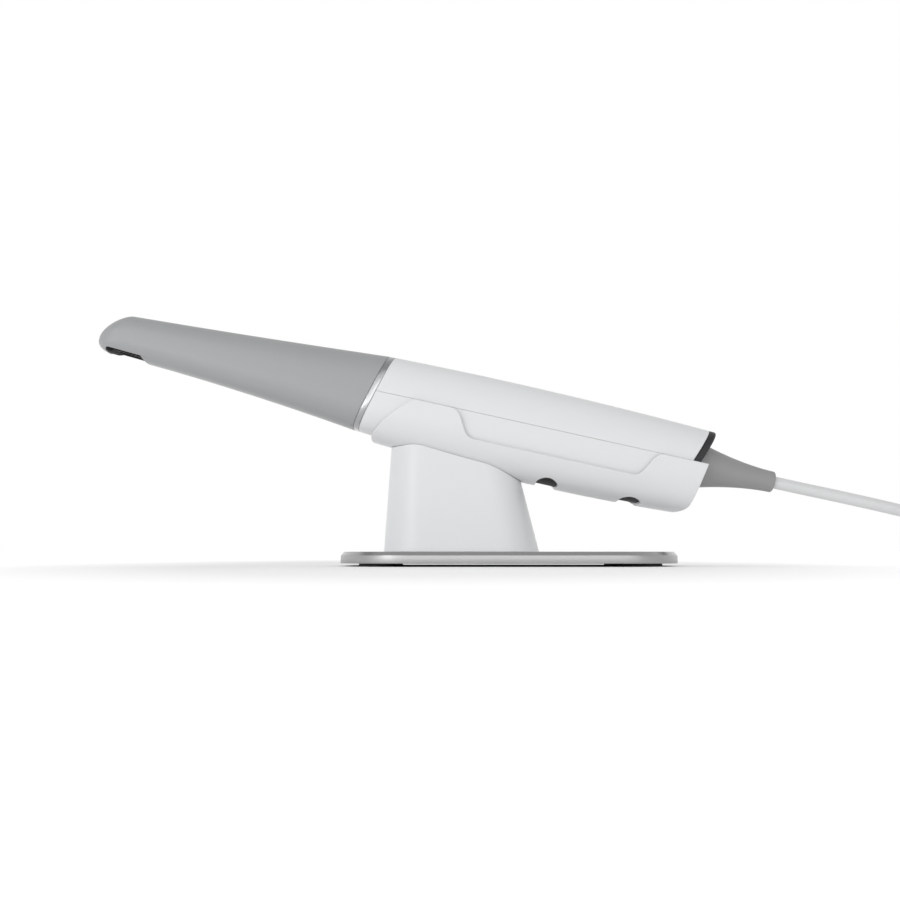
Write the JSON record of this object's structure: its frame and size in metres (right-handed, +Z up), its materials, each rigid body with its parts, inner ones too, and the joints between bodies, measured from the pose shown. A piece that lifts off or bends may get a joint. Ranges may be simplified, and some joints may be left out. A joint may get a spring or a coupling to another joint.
{
  "type": "intraoral scanner with desk cradle",
  "caption": "Handheld dental scanner with a slip-off mirror tip, scan button and cable, resting in a slanted tray cradle on a pedestal and metal base.",
  "frame": {"origin": "on the surface that the feet stand on, midway between the tip's nose and the end of the cable boot, in the middle across", "axes": "+X towards the cable end, +Y across, +Z up"},
  "size_m": [0.4731, 0.1316, 0.1127],
  "materials": {
    "tip_grey": "fine satin moulded grey plastic",
    "mirror": "front-surface mirror",
    "black_trim": "black semi-gloss plastic",
    "optical_glass": "clear coated glass",
    "bright_metal": "finely brushed bright metal",
    "anodised_black": "black anodised",
    "white_shell": "satin white moulded plastic",
    "dark_cap": "matte charcoal plastic",
    "boot_grey": "soft grey elastomer",
    "machined_alloy": "machined alloy",
    "circuit_board": "solder resist on laminate",
    "black_rubber": "matte rubber",
    "screw_steel": "plain steel",
    "cable_white": "smooth soft cable jacket"
  },
  "bodies": {
    "cradle": {"trim_ring": "bright_metal", "nose_tube": "anodised_black", "nose_window": "optical_glass", "handle_upper_shell": "white_shell", "handle_lower_shell": "white_shell", "button_switch": "black_trim", "rear_cap": "dark_cap", "strain_relief": "boot_grey", "optical_chassis": "machined_alloy", "camera_left": "anodised_black", "camera_right": "anodised_black", "camera_lens_left": "anodised_black", "camera_lens_right": "anodised_black", "projector": "anodised_black", "projector_lens": "anodised_black", "main_circuit_board": "circuit_board", "heat_sink": "machined_alloy", "cradle_tray": "white_shell", "rest_pad_1": "black_rubber", "rest_pad_2": "black_rubber", "pedestal": "white_shell", "base_plate": "bright_metal", "pedestal_screw_front": "screw_steel", "pedestal_screw_rear": "screw_steel", "foot_1": "black_rubber", "foot_2": "black_rubber", "foot_3": "black_rubber", "foot_4": "black_rubber", "cable": "cable_white", "cable_coil": "cable_white", "cable_tail": "cable_white", "plug_body": "black_trim", "plug_connector": "bright_metal"},
    "tip": {"tip_sleeve": "tip_grey", "tip_mirror": "mirror", "scan_window_bezel": "black_trim", "scan_window_glass": "optical_glass"},
    "button": {"scan_button": "white_shell"}
  },
  "joints": [
    {"name": "tip_slide", "type": "slide", "parent": "cradle", "child": "tip", "axis": [-0.9763, 0, 0.2164], "range_m": [0, 0.075]},
    {"name": "button_press", "type": "slide", "parent": "cradle", "child": "button", "axis": [-0.2164, 0, -0.9763], "range_m": [0, 0.0006], "stiffness_N_per_m": 1500}
  ]
}
